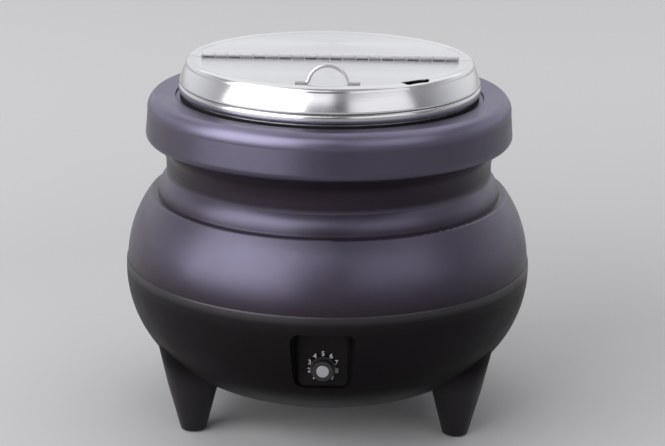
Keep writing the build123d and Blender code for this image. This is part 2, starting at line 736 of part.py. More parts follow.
def lid_half(side):
    """Rear half for side +1, front flap for side -1."""
    near = HINGE_Y + side * LID_CUT / 2
    far = side * BIG
    keep = block((-BIG, BIG), (min(near, far), max(near, far)), (0, BIG))
    slot_x = HINGE_LENGTH / 2 + LID_CUT
    slot_y = (HINGE_Y - HINGE_SLOT / 2, HINGE_Y + HINGE_SLOT / 2)
    slot = block((-slot_x, slot_x), slot_y, (LID_TOP_Z - 2 * SHEET, BIG))
    return (lid_whole() & keep) - slot


def lid_rear_half():
    return lid_half(1)


def lid_front_flap():
    """Front half without the locating lip, which would foul the pot as the flap swings."""
    spot = Pos(*around(LADLE_R, LADLE_ANGLE), LID_TOP_Z - LADLE_CUT_DEPTH) * Rot(0, 0, LADLE_ANGLE + 90)
    above_rim = block((-BIG, BIG), (-BIG, BIG), (INSET_RIM_Z, BIG))
    return (lid_half(-1) & above_rim) - extrude(spot * SlotOverall(*LADLE_SLOT), 2 * LADLE_CUT_DEPTH)


def hinge_leaf(side, first):
    """Leaf under one lid half, with every other knuckle from the first up through the slot."""
    pitch = HINGE_LENGTH / KNUCKLES
    half = HINGE_LENGTH / 2
    leaf_top = LID_TOP_Z - SHEET
    leaf_low = leaf_top - LEAF_T
    axle = Pos(0, HINGE_Y, HINGE_Z) * Rot(0, 90, 0)

    def beside(low, high):
        ends = (HINGE_Y + side * low, HINGE_Y + side * high)
        return (min(ends), max(ends))

    leaf = block((-half, half), beside(LEAF_EDGE, LEAF_WIDTH), (leaf_low, leaf_top))
    for index in range(first, KNUCKLES, 2):
        left = -half + index * pitch + KNUCKLE_GAP / 2
        span = (left, left + pitch - KNUCKLE_GAP)
        web = block(span, beside(LEAF_EDGE, LEAF_EDGE + LEAF_T), (leaf_low, HINGE_Z))
        leaf += web + axle * rod(KNUCKLE_R, *span)
        leaf -= axle * rod(HINGE_PIN_R + RUNNING_GAP, *span)
    return leaf


def hinge_leaf_rear():
    return hinge_leaf(1, 0)


def hinge_leaf_front():
    return hinge_leaf(-1, 1)


def hinge_pin():
    half = HINGE_LENGTH / 2
    near, far = half + HINGE_PIN_HEAD[0], half + HINGE_PIN_HEAD[1]
    pin = rod(HINGE_PIN_R, -far, far)
    pin += rod(HINGE_PIN_HEAD_R, near, far) + rod(HINGE_PIN_HEAD_R, -far, -near)
    return Pos(0, HINGE_Y, HINGE_Z) * (Rot(0, 90, 0) * pin)


def lid_handle():
    """Bent rod with a round arch and two feet that lie on the flap."""
    foot_z = LID_TOP_Z + HANDLE_ROD_R - HANDLE_FLAT
    arch_z = foot_z + HANDLE_ARCH_LIFT
    reach = HANDLE_ARCH_R + HANDLE_BEND_R
    drop = HANDLE_BEND_R - HANDLE_ARCH_LIFT
    bend_x = sqrt(reach**2 - drop**2)
    share = HANDLE_ARCH_R / reach
    join_x = bend_x * share
    join_z = arch_z + drop * share
    half_turn = radians(45)
    bend_mid_x = bend_x - HANDLE_BEND_R * cos(half_turn)
    bend_mid_z = foot_z + HANDLE_BEND_R * (1 - sin(half_turn))

    def point(x, z):
        return (x, HANDLE_Y, z)

    path = Wire(
        [
            Line(point(-HANDLE_FOOT_X, foot_z), point(-bend_x, foot_z)),
            ThreePointArc(point(-bend_x, foot_z), point(-bend_mid_x, bend_mid_z), point(-join_x, join_z)),
            ThreePointArc(
                point(-join_x, join_z), point(0, arch_z + HANDLE_ARCH_R), point(join_x, join_z)
            ),
            ThreePointArc(point(join_x, join_z), point(bend_mid_x, bend_mid_z), point(bend_x, foot_z)),
            Line(point(bend_x, foot_z), point(HANDLE_FOOT_X, foot_z)),
        ]
    )
    start = Plane(origin=path @ 0, z_dir=path % 0)
    handle = sweep(start * Circle(HANDLE_ROD_R), path=path)
    return handle & block((-BIG, BIG), (-BIG, BIG), (LID_TOP_Z, BIG))


# Heater and fixings under the pan


def heating_plate():
    plate = rod(HEATER_R, HEATER_UNDER_Z, PAN_UNDER_Z)
    rib = Pos(0, 0, HEATER_UNDER_Z) * Torus(HEATER_RIB_R, HEATER_RIB_TUBE)
    plate += rib & rod(HEATER_R, HEATER_UNDER_Z - HEATER_RIB_TUBE, HEATER_UNDER_Z)
    return plate - rod(STUD_R + HOLE_GAP, 0, PAN_UNDER_Z)


def heater_terminals():
    top = HEATER_UNDER_Z - HEATER_RIB_TUBE
    terminal = rod(HEATER_PIN_R, HEATER_PIN_END_Z, top) + rod(BEAD_R, top - BEAD_LENGTH, top)
    return Compound([Pos(*around(HEATER_RIB_R, angle), 0) * terminal for angle in HEATER_PIN_ANGLES])


def pan_stud():
    return rod(STUD_R, STUD_END_Z, PAN_UNDER_Z)


def clamp_bar():
    width, length, thick = CLAMP_SIZE
    bar = Pos(0, 0, HEATER_UNDER_Z - thick / 2) * Box(width, length, thick)
    return fillet(bar.edges().filter_by(Axis.Z), CLAMP_ROUND) - rod(STUD_R + HOLE_GAP, 0, PAN_UNDER_Z)


def earth_lug():
    top = HEATER_UNDER_Z - CLAMP_SIZE[2]
    tail = block((0, LUG_TAIL), (-LUG_TAIL_HALF, LUG_TAIL_HALF), (top - SHEET, top))
    lug = rod(LUG_R, top - SHEET, top) + tail
    return Rot(0, 0, GLAND_ANGLE) * (lug - rod(STUD_R + HOLE_GAP, 0, PAN_UNDER_Z))


def clamp_nut():
    top = HEATER_UNDER_Z - CLAMP_SIZE[2] - SHEET
    return prism(CLAMP_NUT_FLATS, top - CLAMP_NUT_T, top) - rod(STUD_R, 0, PAN_UNDER_Z)


def thermal_cutout():
    low = HEATER_UNDER_Z - CUTOUT_T
    case = rod(CUTOUT_R, low, HEATER_UNDER_Z, *CUTOUT_PLACE)
    x, middle = CUTOUT_PLACE
    half_x, half_y = CUTOUT_TAB_HALF
    for y in (middle - CUTOUT_TAB_Y, middle + CUTOUT_TAB_Y):
        case += block((x - half_x, x + half_x), (y - half_y, y + half_y), (CUTOUT_TAB_Z, low))
    return case


def tie_rods():
    rods = [rod(TIE_R, TIE_END_Z, PAN_UNDER_Z, *around(TIE_PCD_R, angle)) for angle in LEG_ANGLES]
    return Compound(rods)


def tie_nuts():
    nut = prism(TIE_NUT_FLATS, TIE_END_Z, BOWL_FLOOR_Z) - rod(TIE_R, TIE_END_Z, BOWL_FLOOR_Z)
    return Compound([Pos(*around(TIE_PCD_R, angle), 0) * nut for angle in LEG_ANGLES])


# Underside, gland and wiring


def bottom_cover():
    cover = rod(COVER_R, BOWL_FLOOR_Z - COVER_T, BOWL_FLOOR_Z)
    for angle in COVER_SCREW_ANGLES:
        spot = around(COVER_SCREW_PCD_R, angle)
        cover -= rod(COVER_SCREW_R + HOLE_GAP, 0, BOWL_FLOOR_Z, *spot)
    return cover


def cover_screws():
    low = BOWL_FLOOR_Z - COVER_T
    head = rod(COVER_SCREW_HEAD_R, low - COVER_SCREW_HEAD_T, low)
    head = fillet(head.edges().group_by(Axis.Z)[0], COVER_SCREW_HEAD_ROUND)
    screw = head + rod(COVER_SCREW_R, low, COVER_SCREW_END_Z)
    return Compound([Pos(*around(COVER_SCREW_PCD_R, angle), 0) * screw for angle in COVER_SCREW_ANGLES])


def cord_gland():
    dome = Pos(0, 0, GLAND_FLANGE_T + GLAND_DOME_LENGTH / 2) * Cone(*GLAND_DOME_R, GLAND_DOME_LENGTH)
    gland = prism(GLAND_HEX, 0, GLAND_FLANGE_T) + dome + rod(GLAND_THREAD_R, -GLAND_WALL - GLAND_TAIL, 0)
    return gland_frame.location * (gland - rod(GLAND_BORE_R, -BIG, BIG))


def gland_nut():
    nut = prism(GLAND_HEX, -GLAND_WALL - GLAND_NUT_T, -GLAND_WALL)
    return gland_frame.location * (nut - rod(GLAND_THREAD_R, -BIG, BIG))


def terminal_block():
    depth, width, height = BLOCK_SIZE
    body = block(
        (BLOCK_R - depth / 2, BLOCK_R + depth / 2),
        (-width / 2, width / 2),
        (BOWL_INNER_FLOOR_Z, BOWL_INNER_FLOOR_Z + height),
    )
    for y in BLOCK_TERMINALS:
        body -= rod(BLOCK_HOLE_R, BOWL_INNER_FLOOR_Z + height - BLOCK_HOLE_DEPTH, BIG, BLOCK_R, y)
    return Rot(0, 0, GLAND_ANGLE) * body


def block_point(side, lead=0.0):
    """Middle of a terminal on the block's inner face, or a point straight in front of it."""
    spot = gland_out * (BLOCK_R - BLOCK_SIZE[0] / 2 - lead) + gland_side * side
    return (spot.X, spot.Y, BOWL_INNER_FLOOR_Z + BLOCK_WIRE_RISE)


def wire(*points):
    return tube(WIRE_R, WIRE_BEND_R, *points)


def wire_live():
    side = BLOCK_TERMINALS[0]
    run = (TAB_X, LIVE_RUN_Y, TAB_Z)
    tab = (TAB_X, TAB_END_Y, TAB_Z)
    return wire(block_point(side), block_point(side, BLOCK_LEAD), LIVE_BEND, run, tab)


def wire_switched():
    x, y = CUTOUT_PLACE[0], CUTOUT_PLACE[1] - CUTOUT_TAB_Y
    tab = (-TAB_X, TAB_END_Y, TAB_Z)
    run = (-TAB_X, SWITCHED_RUN_Y, TAB_Z)
    return wire(tab, run, SWITCHED_BEND, (x, y, CUTOUT_WIRE_Z), (x, y, CUTOUT_TAB_Z))


def wire_heater():
    x, y = CUTOUT_PLACE[0], CUTOUT_PLACE[1] + CUTOUT_TAB_Y
    pin = around(HEATER_RIB_R, HEATER_PIN_ANGLES[0])
    return wire(
        (x, y, CUTOUT_TAB_Z), (x, y, CUTOUT_WIRE_Z), (*pin, HEATER_WIRE_Z), (*pin, HEATER_PIN_END_Z)
    )


def wire_neutral():
    side = BLOCK_TERMINALS[2]
    pin = around(HEATER_RIB_R, HEATER_PIN_ANGLES[1])
    return wire(
        (*pin, HEATER_PIN_END_Z),
        (*pin, NEUTRAL_DROP_Z),
        NEUTRAL_BEND,
        block_point(side, BLOCK_LEAD),
        block_point(side),
    )


def wire_earth():
    side = BLOCK_TERMINALS[1]
    lug = around(LUG_WIRE, GLAND_ANGLE)
    lug_z = HEATER_UNDER_Z - CLAMP_SIZE[2] - SHEET
    return wire((*lug, lug_z), (*lug, EARTH_DROP_Z), block_point(side, BLOCK_LEAD), block_point(side))


NODES = {
    "upper_shell": upper_shell(),
    "collar": collar(),
    "lower_shell": lower_shell(),
    "control_housing": control_housing(),
    "leg_rear": leg(LEG_ANGLES[0]),
    "leg_front_left": leg(LEG_ANGLES[1]),
    "leg_front_right": leg(LEG_ANGLES[2]),
    "foot_pad_rear": foot_pad(LEG_ANGLES[0]),
    "foot_pad_front_left": foot_pad(LEG_ANGLES[1]),
    "foot_pad_front_right": foot_pad(LEG_ANGLES[2]),
    "leg_screws": leg_screws(),
    "dial_plate": dial_plate(),
    "thermostat_lock_nut": thermostat_lock_nut(),
    "thermostat_body": thermostat_body(),
    "thermostat_shaft": thermostat_shaft(),
    "control_knob": control_knob(),
    "knob_cap": knob_cap(),
    "sensor_bulb": sensor_bulb(),
    "bulb_clip": bulb_clip(),
    "water_pan": water_pan(),
    "pan_seal": pan_seal(),
    "insulation_sleeve": insulation_sleeve(),
    "inset_pot": inset_pot(),
    "lid_rear_half": lid_rear_half(),
    "lid_front_flap": lid_front_flap(),
    "hinge_leaf_rear": hinge_leaf_rear(),
    "hinge_leaf_front": hinge_leaf_front(),
    "hinge_pin": hinge_pin(),
    "lid_handle": lid_handle(),
    "heating_plate": heating_plate(),
    "heater_terminals": heater_terminals(),
    "pan_stud": pan_stud(),
    "clamp_bar": clamp_bar(),
    "earth_lug": earth_lug(),
    "clamp_nut": clamp_nut(),
    "thermal_cutout": thermal_cutout(),
    "tie_rods": tie_rods(),
    "tie_nuts": tie_nuts(),
    "bottom_cover": bottom_cover(),
    "cover_screws": cover_screws(),
    "cord_gland": cord_gland(),
    "gland_nut": gland_nut(),
    "terminal_block": terminal_block(),
    "wire_live": wire_live(),
    "wire_switched": wire_switched(),
    "wire_heater": wire_heater(),
    "wire_neutral": wire_neutral(),
    "wire_earth": wire_earth(),
}

os.makedirs("parts", exist_ok=True)
for node, shape in NODES.items():
    export_step(shape, f"parts/{node}.step")
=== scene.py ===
import json
from math import cos, radians, sin

import bpy
from mathutils import Matrix, Vector


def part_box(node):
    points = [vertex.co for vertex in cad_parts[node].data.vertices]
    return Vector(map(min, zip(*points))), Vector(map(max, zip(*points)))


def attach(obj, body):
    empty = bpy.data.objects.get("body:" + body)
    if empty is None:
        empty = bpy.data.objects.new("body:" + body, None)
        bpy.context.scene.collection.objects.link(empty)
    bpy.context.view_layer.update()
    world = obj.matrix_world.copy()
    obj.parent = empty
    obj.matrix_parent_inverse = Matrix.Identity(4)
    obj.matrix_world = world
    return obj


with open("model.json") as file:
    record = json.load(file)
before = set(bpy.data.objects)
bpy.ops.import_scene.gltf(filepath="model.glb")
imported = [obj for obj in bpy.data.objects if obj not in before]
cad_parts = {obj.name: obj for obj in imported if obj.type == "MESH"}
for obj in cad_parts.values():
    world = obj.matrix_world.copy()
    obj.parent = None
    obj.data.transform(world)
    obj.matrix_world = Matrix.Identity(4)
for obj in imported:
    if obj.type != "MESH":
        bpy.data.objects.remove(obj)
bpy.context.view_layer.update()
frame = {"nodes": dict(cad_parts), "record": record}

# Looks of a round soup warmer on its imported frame.
# Metres, +Z up, origin on the floor under the middle, the dial faces -Y.

# Camera, before it is turned to its azimuth
IMAGE_WIDTH_PIXELS = 665
FOCAL_PIXELS = 1790
SENSOR_MM = 36.0
CAMERA_SPOT = (0.0044, -1.6819, 0.6928)
CAMERA_AIM = (0.0044, 0.0, 0.1885)
CAMERA_AZIMUTH = 0.8
CAMERA_ROLL = 0.8

# Studio: distances in metres, elevations and angles in degrees
FLOOR_HALF = 9.0
FLOOR_ROUGHNESS = 0.9
FLOOR_SEEN = (0.58, 0.58, 0.59)
FLOOR_FAR_GLOW = 0.30
FLOOR_GLOW_SPAN = (0.6, 2.6)
FLOOR_BOUNCE = (0.16, 0.15, 0.16)
BACKDROP_SEEN = (0.97, 0.98, 1.0)
BACKDROP_ELEVATIONS = (22.0, 33.0)
ROOM_SEEN = (0.17, 0.17, 0.19)
ROOM_HIGH = (0.56, 0.56, 0.58)
ROOM_HIGH_ELEVATIONS = (20.0, 42.0)
ROOM_TOP = (0.12, 0.12, 0.13)
ROOM_TOP_ELEVATIONS = (42.0, 58.0)
ROOM_BEHIND_SPAN = (-0.5, 0.7)
ROOM_GLOW = (0.14, 0.14, 0.15)
ROOM_DARK = (0.10, 0.09, 0.11)
ROOM_DARK_AZIMUTH = 9.0
ROOM_DARK_ELEVATION = 28.0
ROOM_DARK_ANGLES = (13.0, 6.0)

# Sheen of the mouldings, as stops of height and level. Low stops paint shade at the seam, the foot of
# the shoulder, the neck and the underside. High stops paint highlights and reflections on the collar
# top, the lip at the seam and the legs.
SHEEN_TOP_HEIGHT = 0.4
BODY_PAINTED_SHEEN = (
    # Low at the seam: painted shade on the lower belly.
    (0.158, 0.13),  # seam
    (0.197, 0.50),  # belly
    (0.2245, 0.50),  # ledge
    # Dip at the foot of the shoulder: painted shade in the crease.
    (0.2255, 0.25),  # foot of the shoulder
    (0.236, 0.50),  # shoulder
    (0.241, 0.50),
    # Low at the neck: painted shade under the collar.
    (0.248, 0.11),  # neck
    (0.266, 0.11),
    (0.281, 0.45),  # collar side
    (0.303, 0.45),
    # Full at the collar top: painted highlight.
    (0.313, 1.0),  # collar top
)
BOWL_PAINTED_SHEEN = (
    # High at the legs: painted reflection.
    (0.0, 0.45),  # legs
    (0.045, 0.40),
    # Low on the underside: painted shade.
    (0.08, 0.04),  # underside
    (0.140, 0.10),  # side
    (0.150, 0.15),
    # High at the lip: painted highlight along the seam.
    (0.158, 0.62),  # lip at the seam
)

# Textures: scales of their noise, and the depth of any relief in metres
NOISE_DETAIL = 3.0
NOISE_SPAN = (0.3, 0.7)
MOTTLE_SCALE = 9.0
MATT_SCALE = 35.0
PEBBLES = ((240.0, 0.00006), (1500.0, 0.00003))
TURNED_GRAIN_SCALE = 1600.0
TURNED_GRAIN_PER_RADIAN = 0.004
PAN_GRAIN_DEPTH = 0.000006
POLISHED_GRAIN_DEPTH = 0.000003
ACROSS_GRAIN_TURN = 0.25
HINGE_GRAIN_SCALES = (40.0, 1800.0, 1800.0)
HINGE_GRAIN_DEPTH = 0.000001
CLOUD_SCALE = 160.0
CAST_SCALE = 900.0
CAST_DEPTH = 0.00002
INK_SCALE = 900.0

# Softboxes: name, height aimed at, azimuth, elevation, distance, width and height, watts
SOFTBOXES = (
    ("key", 1.45, -51.0, 0.0, 2.4, (3.0, 2.7), 84.0),
    ("fill", 1.3, 41.0, 0.0, 2.4, (2.3, 1.6), 12.0),
    ("front", 0.25, -10.0, 36.0, 3.0, (1.25, 0.65), 3.9),
    ("top", 0.0, 180.0, 73.0, 2.15, (4.4, 3.1), 46.0),
)

# Dial print
DIAL_NUMBERS = range(1, 10)
DIAL_NUMBER_STEP = 35.0
DIAL_NUMBER_R = 0.0128
DIAL_FONT_SIZE = 0.0064
DIAL_NUMBER_BOLD = 0.00012
DIAL_PRINT_T = 0.00006
INK_MEAN = (0.7, 0.69, 0.72)
INK_WORN = (0.45, 0.44, 0.47)
INK_FULL = (0.85, 0.84, 0.87)
INK_ROUGHNESS = 0.5

# Sockets of the node that mixes two colours
MIX_SHARE = 0
MIX_FIRST = 6
MIX_SECOND = 7
MIX_RESULT = 2


# Camera, lights, world and floor


def make_camera():
    """Camera at the photo's angle, with its slight roll."""
    turn = Matrix.Rotation(radians(CAMERA_AZIMUTH), 3, "Z")
    spot = turn @ Vector(CAMERA_SPOT)
    aim = turn @ Vector(CAMERA_AIM)
    data = bpy.data.cameras.new("camera")
    data.sensor_width = SENSOR_MM
    data.lens = FOCAL_PIXELS / IMAGE_WIDTH_PIXELS * SENSOR_MM
    camera = bpy.data.objects.new("camera", data)
    look = (aim - spot).to_track_quat("-Z", "Y").to_matrix()
    roll = Matrix.Rotation(radians(CAMERA_ROLL), 3, "Z")
    camera.matrix_world = Matrix.Translation(spot) @ (look @ roll).to_4x4()
    bpy.context.scene.collection.objects.link(camera)
    bpy.context.scene.camera = camera


def direction(azimuth, elevation):
    """Unit vector away from the object; azimuth 0 is the front and 90 is its right side."""
    flat = cos(radians(elevation))
    return Vector((sin(radians(azimuth)) * flat, -cos(radians(azimuth)) * flat, sin(radians(elevation))))


def softbox(name, aim_height, azimuth, elevation, distance, size, power):
    """Rectangular lamp that faces a height on the object's axis."""
    away = direction(azimuth, elevation)
    data = bpy.data.lights.new(name, "AREA")
    data.shape = "RECTANGLE"
    data.size, data.size_y = size
    data.energy = power
    lamp = bpy.data.objects.new(name, data)
    lamp.visible_camera = False
    lamp.location = Vector((0, 0, aim_height)) + away * distance
    lamp.rotation_euler = away.to_track_quat("Z", "Y").to_euler()
    bpy.context.scene.collection.objects.link(lamp)


def seen_directly(tree):
    """1 for rays from the camera, off glossy surfaces or through clear ones, otherwise 0."""
    path = tree.nodes.new("ShaderNodeLightPath")
    total = path.outputs["Is Camera Ray"]
    for ray in ("Is Glossy Ray", "Is Transmission Ray"):
        either = tree.nodes.new("ShaderNodeMath")
        either.operation = "MAXIMUM"
        tree.links.new(total, either.inputs[0])
        tree.links.new(path.outputs[ray], either.inputs[1])
        total = either.outputs[0]
    return total


def mix_colours(tree, share, first, second):
    """Colour between two, each a socket or a plain colour."""
    mix = tree.nodes.new("ShaderNodeMix")
    mix.data_type = "RGBA"
    tree.links.new(share, mix.inputs[MIX_SHARE])
    for socket, colour in ((MIX_FIRST, first), (MIX_SECOND, second)):
        if isinstance(colour, bpy.types.NodeSocket):
            tree.links.new(colour, mix.inputs[socket])
        else:
            mix.inputs[socket].default_value = (*colour, 1)
    return mix.outputs[MIX_RESULT]


def smooth_share(tree, value, span):
    """Soft step from 0 to 1 as a value passes through a span."""
    share = tree.nodes.new("ShaderNodeMapRange")
    share.interpolation_type = "SMOOTHSTEP"
    share.inputs["From Min"].default_value, share.inputs["From Max"].default_value = span
    tree.links.new(value, share.inputs["Value"])
    return share.outputs[0]


def above(tree, rise, elevations):
    """Soft step from 0 to 1 between two elevations of a direction's rise."""
    return smooth_share(tree, rise, [sin(radians(elevation)) for elevation in elevations])


def room_spot(tree, place):
    """Share of the dark patch that the camera's own side of the room shows in polished steel."""
    near = tree.nodes.new("ShaderNodeVectorMath")
    near.operation = "DOT_PRODUCT"
    near.inputs[1].default_value = direction(ROOM_DARK_AZIMUTH, ROOM_DARK_ELEVATION)
    tree.links.new(place, near.inputs[0])
    return smooth_share(tree, near.outputs["Value"], [cos(radians(angle)) for angle in ROOM_DARK_ANGLES])


def make_world():
    """Dim room with a bright backdrop; the camera itself sees only the backdrop's colour."""
    world = bpy.data.worlds.new("studio")
    world.use_nodes = True
    bpy.context.scene.world = world
    tree = world.node_tree
    place = tree.nodes.new("ShaderNodeTexCoord")
    split = tree.nodes.new("ShaderNodeSeparateXYZ")
    tree.links.new(place.outputs["Generated"], split.inputs[0])
    behind = smooth_share(tree, split.outputs["Y"], ROOM_BEHIND_SPAN)
    rise = split.outputs["Z"]
    room = ROOM_SEEN
    for colour, elevations in ((ROOM_HIGH, ROOM_HIGH_ELEVATIONS), (ROOM_TOP, ROOM_TOP_ELEVATIONS)):
        room = mix_colours(tree, above(tree, rise, elevations), room, colour)
    backdrop = mix_colours(tree, above(tree, rise, BACKDROP_ELEVATIONS), BACKDROP_SEEN, ROOM_TOP)
    shown = mix_colours(tree, behind, room, backdrop)
    shown = mix_colours(tree, room_spot(tree, place.outputs["Generated"]), shown, ROOM_DARK)
    path = tree.nodes.new("ShaderNodeLightPath")
    shown = mix_colours(tree, path.outputs["Is Camera Ray"], shown, BACKDROP_SEEN)
    colour = mix_colours(tree, seen_directly(tree), ROOM_GLOW, shown)
    tree.links.new(colour, tree.nodes["Background"].inputs["Color"])


def far_glow(tree, seen):
    """Keeps the floor pale far from the object, where the lamps no longer reach it."""
    place = tree.nodes.new("ShaderNodeTexCoord")
    far = tree.nodes.new("ShaderNodeVectorMath")
    far.operation = "LENGTH"
    tree.links.new(place.outputs["Object"], far.inputs[0])
    glow = tree.nodes.new("ShaderNodeMapRange")
    glow.inputs["From Min"].default_value, glow.inputs["From Max"].default_value = FLOOR_GLOW_SPAN
    glow.inputs["To Max"].default_value = FLOOR_FAR_GLOW
    tree.links.new(far.outputs["Value"], glow.inputs["Value"])
    shown = tree.nodes.new("ShaderNodeMath")
    shown.operation = "MULTIPLY"
    tree.links.new(glow.outputs[0], shown.inputs[0])
    tree.links.new(seen, shown.inputs[1])
    return shown.outputs[0]


def make_floor():
    """Plain matt floor that looks pale and throws little light back on the object."""
    half = FLOOR_HALF
    corners = [(-half, -half, 0), (half, -half, 0), (half, half, 0), (-half, half, 0)]
    mesh = bpy.data.meshes.new("floor")
    mesh.from_pydata(corners, [], [(0, 1, 2, 3)])
    floor = bpy.data.objects.new("floor", mesh)
    bpy.context.scene.collection.objects.link(floor)
    material, tree, shader = new_finish("floor", FLOOR_SEEN, FLOOR_ROUGHNESS)
    shader.inputs["Specular IOR Level"].default_value = 0.0
    seen = seen_directly(tree)
    colour = mix_colours(tree, seen, FLOOR_BOUNCE, FLOOR_SEEN)
    tree.links.new(colour, shader.inputs["Base Color"])
    tree.links.new(far_glow(tree, seen), shader.inputs["Emission Strength"])
    shader.inputs["Emission Color"].default_value = (1, 1, 1, 1)
    mesh.materials.append(material)


# Shader helpers


def new_finish(name, colour, roughness, metallic=0.0):
    """New material with its node tree and its shader."""
    material = bpy.data.materials.new(name)
    material.use_nodes = True
    tree = material.node_tree
    shader = tree.nodes["Principled BSDF"]
    shader.inputs["Base Color"].default_value = (*colour, 1)
    shader.inputs["Roughness"].default_value = roughness
    shader.inputs["Metallic"].default_value = metallic
    return material, tree, shader


def object_place(tree, stretch=(1, 1, 1)):
    """Position in the frame, stretched per axis."""
    place = tree.nodes.new("ShaderNodeTexCoord")
    mapping = tree.nodes.new("ShaderNodeMapping")
    mapping.inputs["Scale"].default_value = stretch
    tree.links.new(place.outputs["Object"], mapping.inputs["Vector"])
    return mapping.outputs[0]


def turned_place(tree):
    """Radius, turn and height as a position, so that a texture runs round the upright axis."""
    place = tree.nodes.new("ShaderNodeTexCoord")
    split = tree.nodes.new("ShaderNodeSeparateXYZ")
    tree.links.new(place.outputs["Object"], split.inputs[0])
    flat = tree.nodes.new("ShaderNodeCombineXYZ")
    tree.links.new(split.outputs["X"], flat.inputs["X"])
    tree.links.new(split.outputs["Y"], flat.inputs["Y"])
    radius = tree.nodes.new("ShaderNodeVectorMath")
    radius.operation = "LENGTH"
    tree.links.new(flat.outputs[0], radius.inputs[0])
    turn = tree.nodes.new("ShaderNodeMath")
    turn.operation = "ARCTAN2"
    tree.links.new(split.outputs["Y"], turn.inputs[0])
    tree.links.new(split.outputs["X"], turn.inputs[1])
    slow = tree.nodes.new("ShaderNodeMath")
    slow.operation = "MULTIPLY"
    slow.inputs[1].default_value = TURNED_GRAIN_PER_RADIAN
    tree.links.new(turn.outputs[0], slow.inputs[0])
    joined = tree.nodes.new("ShaderNodeCombineXYZ")
    tree.links.new(radius.outputs["Value"], joined.inputs["X"])
    tree.links.new(slow.outputs[0], joined.inputs["Y"])
    tree.links.new(split.outputs["Z"], joined.inputs["Z"])
    return joined.outputs[0]


def noise(tree, place, scale):
    texture = tree.nodes.new("ShaderNodeTexNoise")
    texture.inputs["Scale"].default_value = scale
    texture.inputs["Detail"].default_value = NOISE_DETAIL
    tree.links.new(place, texture.inputs["Vector"])
    return texture.outputs["Fac"]


def vary(tree, value, low, high, target):
    """Drives a shader input between two limits by a 0 to 1 texture."""
    span = tree.nodes.new("ShaderNodeMapRange")
    span.inputs["From Min"].default_value, span.inputs["From Max"].default_value = NOISE_SPAN
    span.inputs["To Min"].default_value = low
    span.inputs["To Max"].default_value = high
    tree.links.new(value, span.inputs["Value"])
    tree.links.new(span.outputs[0], target)


def add_bump(tree, shader, height, depth):
    """Adds relief of a depth in metres on top of any relief that is there."""
    bump = tree.nodes.new("ShaderNodeBump")
    bump.inputs["Strength"].default_value = 1.0
    bump.inputs["Distance"].default_value = depth
    tree.links.new(height, bump.inputs["Height"])
    if shader.inputs["Normal"].is_linked:
        tree.links.new(shader.inputs["Normal"].links[0].from_socket, bump.inputs["Normal"])
    tree.links.new(bump.outputs[0], shader.inputs["Normal"])


def fade_sheen(tree, shader, stops):
    """Lets the sheen follow the height, by stops of a height and a level, to paint shade and highlights.
    """
    place = tree.nodes.new("ShaderNodeTexCoord")
    split = tree.nodes.new("ShaderNodeSeparateXYZ")
    tree.links.new(place.outputs["Object"], split.inputs[0])
    share = tree.nodes.new("ShaderNodeMapRange")
    share.inputs["From Max"].default_value = SHEEN_TOP_HEIGHT
    tree.links.new(split.outputs["Z"], share.inputs["Value"])
    ramp = tree.nodes.new("ShaderNodeValToRGB")
    ramp.color_ramp.interpolation = "EASE"
    steps = ramp.color_ramp.elements
    while len(steps) < len(stops):
        steps.new(1.0)
    for step, (height, level) in zip(steps, stops):
        step.position = height / SHEEN_TOP_HEIGHT
        step.color = (level, level, level, 1)
    tree.links.new(share.outputs[0], ramp.inputs["Fac"])
    tree.links.new(ramp.outputs["Color"], shader.inputs["Specular IOR Level"])


# Finishes, one for each slot of the record


def moulding(name, dark, light, roughness, sheen=0.5, sheen_tint=(1, 1, 1), ior=1.5, painted_sheen_stops=None):
    """Plastic, rubber or fibre with a fine, faintly mottled skin; its sheen may follow the height to
    paint shade and highlights.
    """
    material, tree, shader = new_finish(name, dark, sum(roughness) / 2)
    shader.inputs["Specular IOR Level"].default_value = sheen
    shader.inputs["Specular Tint"].default_value = (*sheen_tint, 1)
    shader.inputs["IOR"].default_value = ior
    if painted_sheen_stops:
        fade_sheen(tree, shader, painted_sheen_stops)
    place = object_place(tree)
    colour = mix_colours(tree, noise(tree, place, MOTTLE_SCALE), dark, light)
    tree.links.new(colour, shader.inputs["Base Color"])
    vary(tree, noise(tree, place, MATT_SCALE), *roughness, shader.inputs["Roughness"])
    for scale, depth in PEBBLES:
        add_bump(tree, shader, noise(tree, place, scale), depth)
    return material


def brushed_steel(name, colour, roughness, grain_scales, depth):
    """Sheet steel with a straight grain."""
    material, tree, shader = new_finish(name, colour, sum(roughness) / 2, 1.0)
    grain = noise(tree, object_place(tree, grain_scales), 1.0)
    vary(tree, grain, *roughness, shader.inputs["Roughness"])
    add_bump(tree, shader, grain, depth)
    return material


def turned_steel(name, colour, roughness, depth, stretch=0.0):
    """Spun steel with a grain that runs round the axis and stretches its reflections across it."""
    material, tree, shader = new_finish(name, colour, sum(roughness) / 2, 1.0)
    shader.inputs["Anisotropic"].default_value = stretch
    shader.inputs["Anisotropic Rotation"].default_value = ACROSS_GRAIN_TURN
    round_axis = tree.nodes.new("ShaderNodeTangent")
    round_axis.direction_type = "RADIAL"
    round_axis.axis = "Z"
    tree.links.new(round_axis.outputs[0], shader.inputs["Tangent"])
    grain = noise(tree, turned_place(tree), TURNED_GRAIN_SCALE)
    vary(tree, grain, *roughness, shader.inputs["Roughness"])
    add_bump(tree, shader, grain, depth)
    return material


def plain_metal(name, colour, roughness):
    """Plated or cast metal with a faint cloudy finish."""
    material, tree, shader = new_finish(name, colour, sum(roughness) / 2, 1.0)
    place = object_place(tree)
    vary(tree, noise(tree, place, CLOUD_SCALE), *roughness, shader.inputs["Roughness"])
    add_bump(tree, shader, noise(tree, place, CAST_SCALE), CAST_DEPTH)
    return material


